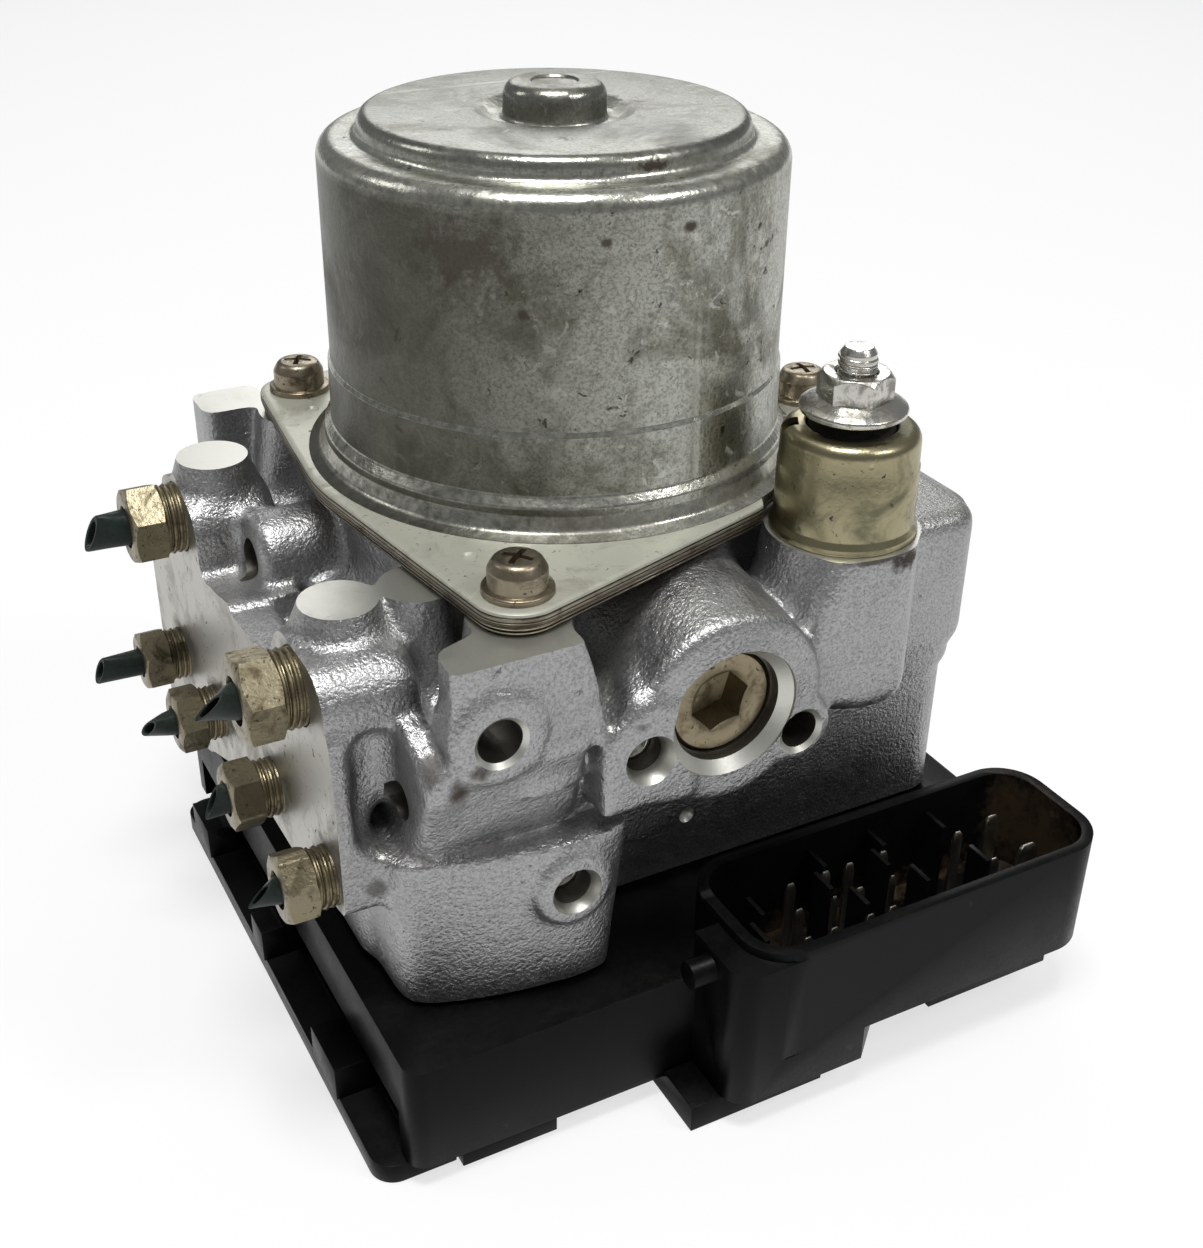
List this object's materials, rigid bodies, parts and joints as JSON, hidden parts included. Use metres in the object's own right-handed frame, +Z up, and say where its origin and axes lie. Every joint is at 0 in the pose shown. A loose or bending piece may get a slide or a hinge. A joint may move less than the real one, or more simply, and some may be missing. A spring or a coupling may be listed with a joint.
{
  "type": "abs brake module",
  "caption": "Anti-lock brake unit: cast valve block, pump motor in a drawn can, cut brake pipes, rubber mount and a black controller with an open connector.",
  "frame": {"origin": "motor axis in the base face of the controller lid", "axes": "+Z up along the motor axis, +X to the right along the connector face, +Y to the back"},
  "size_m": [0.1389, 0.1327, 0.1451],
  "materials": {
    "block": "satin cast, bead blasted",
    "can_steel": "zinc plated, dull and scratched",
    "plate_steel": "zinc plated, dull",
    "screw_steel": "yellow zinc, worn",
    "magnet": "sintered ferrite",
    "shaft_steel": "ground",
    "ring_steel": "ground",
    "core_steel": "lacquered laminations",
    "winding": "enamelled wire",
    "commutator": "turned copper",
    "bearing_bronze": "sintered",
    "bearing_steel": "ground",
    "holder_plastic": "moulded",
    "carbon": "pressed carbon",
    "spring_steel": "drawn wire",
    "piston_steel": "ground",
    "plug_steel": "yellow zinc, worn",
    "sleeve_steel": "turned",
    "accumulator_alu": "turned",
    "cap_steel": "zinc plated",
    "valve_steel": "turned",
    "coil_plastic": "moulded round copper wire",
    "nut_steel": "yellow zinc, dirty",
    "pipe_coat": "dark coating, bright cut ends",
    "channel_steel": "black steel",
    "cup_steel": "yellow zinc, worn",
    "bush_rubber": "moulded",
    "stud_steel": "bright zinc, galled",
    "housing_plastic": "moulded, satin black",
    "seal_rubber": "moulded",
    "board": "lacquered laminate",
    "pin_metal": "tin plated"
  },
  "bodies": {
    "control_unit": {"hydraulic_block": "block", "motor_can": "can_steel", "motor_end_plate": "plate_steel", "motor_screws": "screw_steel", "field_magnets": "magnet", "top_bearing": "bearing_bronze", "lower_bearing": "bearing_steel", "brush_holder": "holder_plastic", "carbon_brushes": "carbon", "brush_springs": "spring_steel", "pump_plugs": "plug_steel", "pump_sleeves": "sleeve_steel", "pump_springs": "spring_steel", "front_accumulator_spring": "spring_steel", "rear_accumulator_spring": "spring_steel", "accumulator_caps": "cap_steel", "solenoid_valves": "valve_steel", "valve_coils": "coil_plastic", "large_flare_nuts": "nut_steel", "small_flare_nuts": "nut_steel", "large_pipe_stubs": "pipe_coat", "small_pipe_stubs": "pipe_coat", "channel_plugs": "channel_steel", "mount_cup": "cup_steel", "mount_bush": "bush_rubber", "mount_stud": "stud_steel", "mount_nut": "stud_steel", "controller_housing": "housing_plastic", "controller_lid": "housing_plastic", "housing_seal": "seal_rubber", "circuit_board": "board", "housing_screws": "screw_steel", "signal_pins": "pin_metal", "power_blades": "pin_metal"},
    "rotor": {"rotor_shaft": "shaft_steel", "eccentric_ring": "ring_steel", "armature_core": "core_steel", "armature_windings": "winding", "commutator": "commutator"},
    "front_piston": {"front_pump_piston": "piston_steel"},
    "rear_piston": {"rear_pump_piston": "piston_steel"},
    "front_accumulator": {"front_accumulator_piston": "accumulator_alu"},
    "rear_accumulator": {"rear_accumulator_piston": "accumulator_alu"}
  },
  "joints": [
    {"name": "rotor_spin", "type": "hinge", "parent": "control_unit", "child": "rotor", "pos_m": [0, 0, 0.1], "axis": [0, 0, 1], "continuous": true},
    {"name": "front_piston_slide", "type": "slide", "parent": "control_unit", "child": "front_piston", "axis": [0, 1, 0], "range_m": [-0.0008, 0.0008]},
    {"name": "rear_piston_slide", "type": "slide", "parent": "control_unit", "child": "rear_piston", "axis": [0, 1, 0], "range_m": [-0.0008, 0.0008]},
    {"name": "front_accumulator_slide", "type": "slide", "parent": "control_unit", "child": "front_accumulator", "axis": [0, 0, -1], "range_m": [0, 0.005], "stiffness_N_per_m": 4000, "springref_m": -0.0005, "deforming": ["front_accumulator_spring"]},
    {"name": "rear_accumulator_slide", "type": "slide", "parent": "control_unit", "child": "rear_accumulator", "axis": [0, 0, -1], "range_m": [0, 0.005], "stiffness_N_per_m": 4000, "springref_m": -0.0005, "deforming": ["rear_accumulator_spring"]}
  ],
  "couplings": [
    {"joint": "rear_piston_slide", "follows": "front_piston_slide", "ratio": 1}
  ]
}
